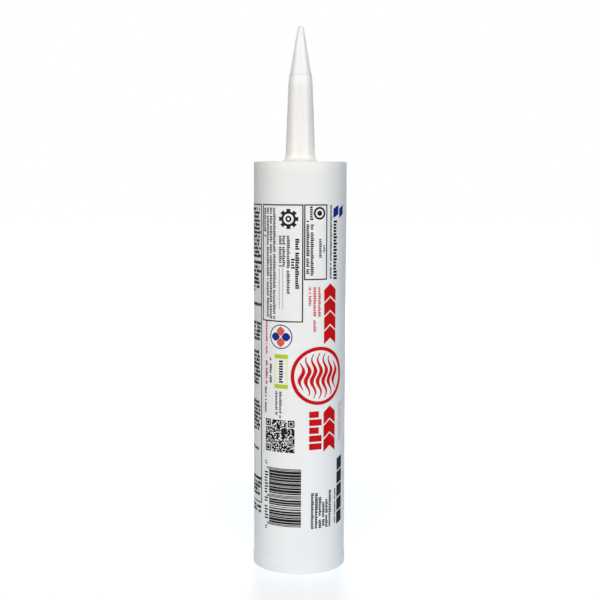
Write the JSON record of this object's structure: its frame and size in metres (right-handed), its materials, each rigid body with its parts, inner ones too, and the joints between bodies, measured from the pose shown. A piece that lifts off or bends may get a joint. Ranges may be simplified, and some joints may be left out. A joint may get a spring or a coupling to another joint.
{
  "type": "sealant cartridge",
  "caption": "White plastic sealant cartridge with a long tapered nozzle and an open rear end, where a plunger slides up the barrel to push the sealant out.",
  "frame": {"origin": "centre of the open rear rim, on the plane that the cartridge stands on", "axes": "+Z along the axis of the barrel, from the rear rim towards the nozzle's tip"},
  "size_m": [0.0496, 0.0496, 0.286],
  "materials": {
    "barrel_plastic": "white high-density polyethylene, smooth and softly glossy",
    "black_ink": "thin black ink, printed straight on the barrel",
    "red_ink": "thin red ink, printed straight on the barrel",
    "blue_ink": "thin navy blue ink, printed straight on the barrel",
    "green_ink": "thin green ink, printed straight on the barrel",
    "plunger_plastic": "natural white low-density polyethylene with a waxy moulded surface",
    "sealant_paste": "thick grey paste with a damp sheen"
  },
  "bodies": {
    "barrel": {"barrel": "barrel_plastic", "sealant": "sealant_paste"},
    "plunger": {"plunger": "plunger_plastic"}
  },
  "joints": [
    {"name": "plunger_slide", "type": "slide", "parent": "barrel", "child": "plunger", "axis": [0, 0, 1], "range_m": [0, 0.19], "deforming": ["sealant"]}
  ]
}
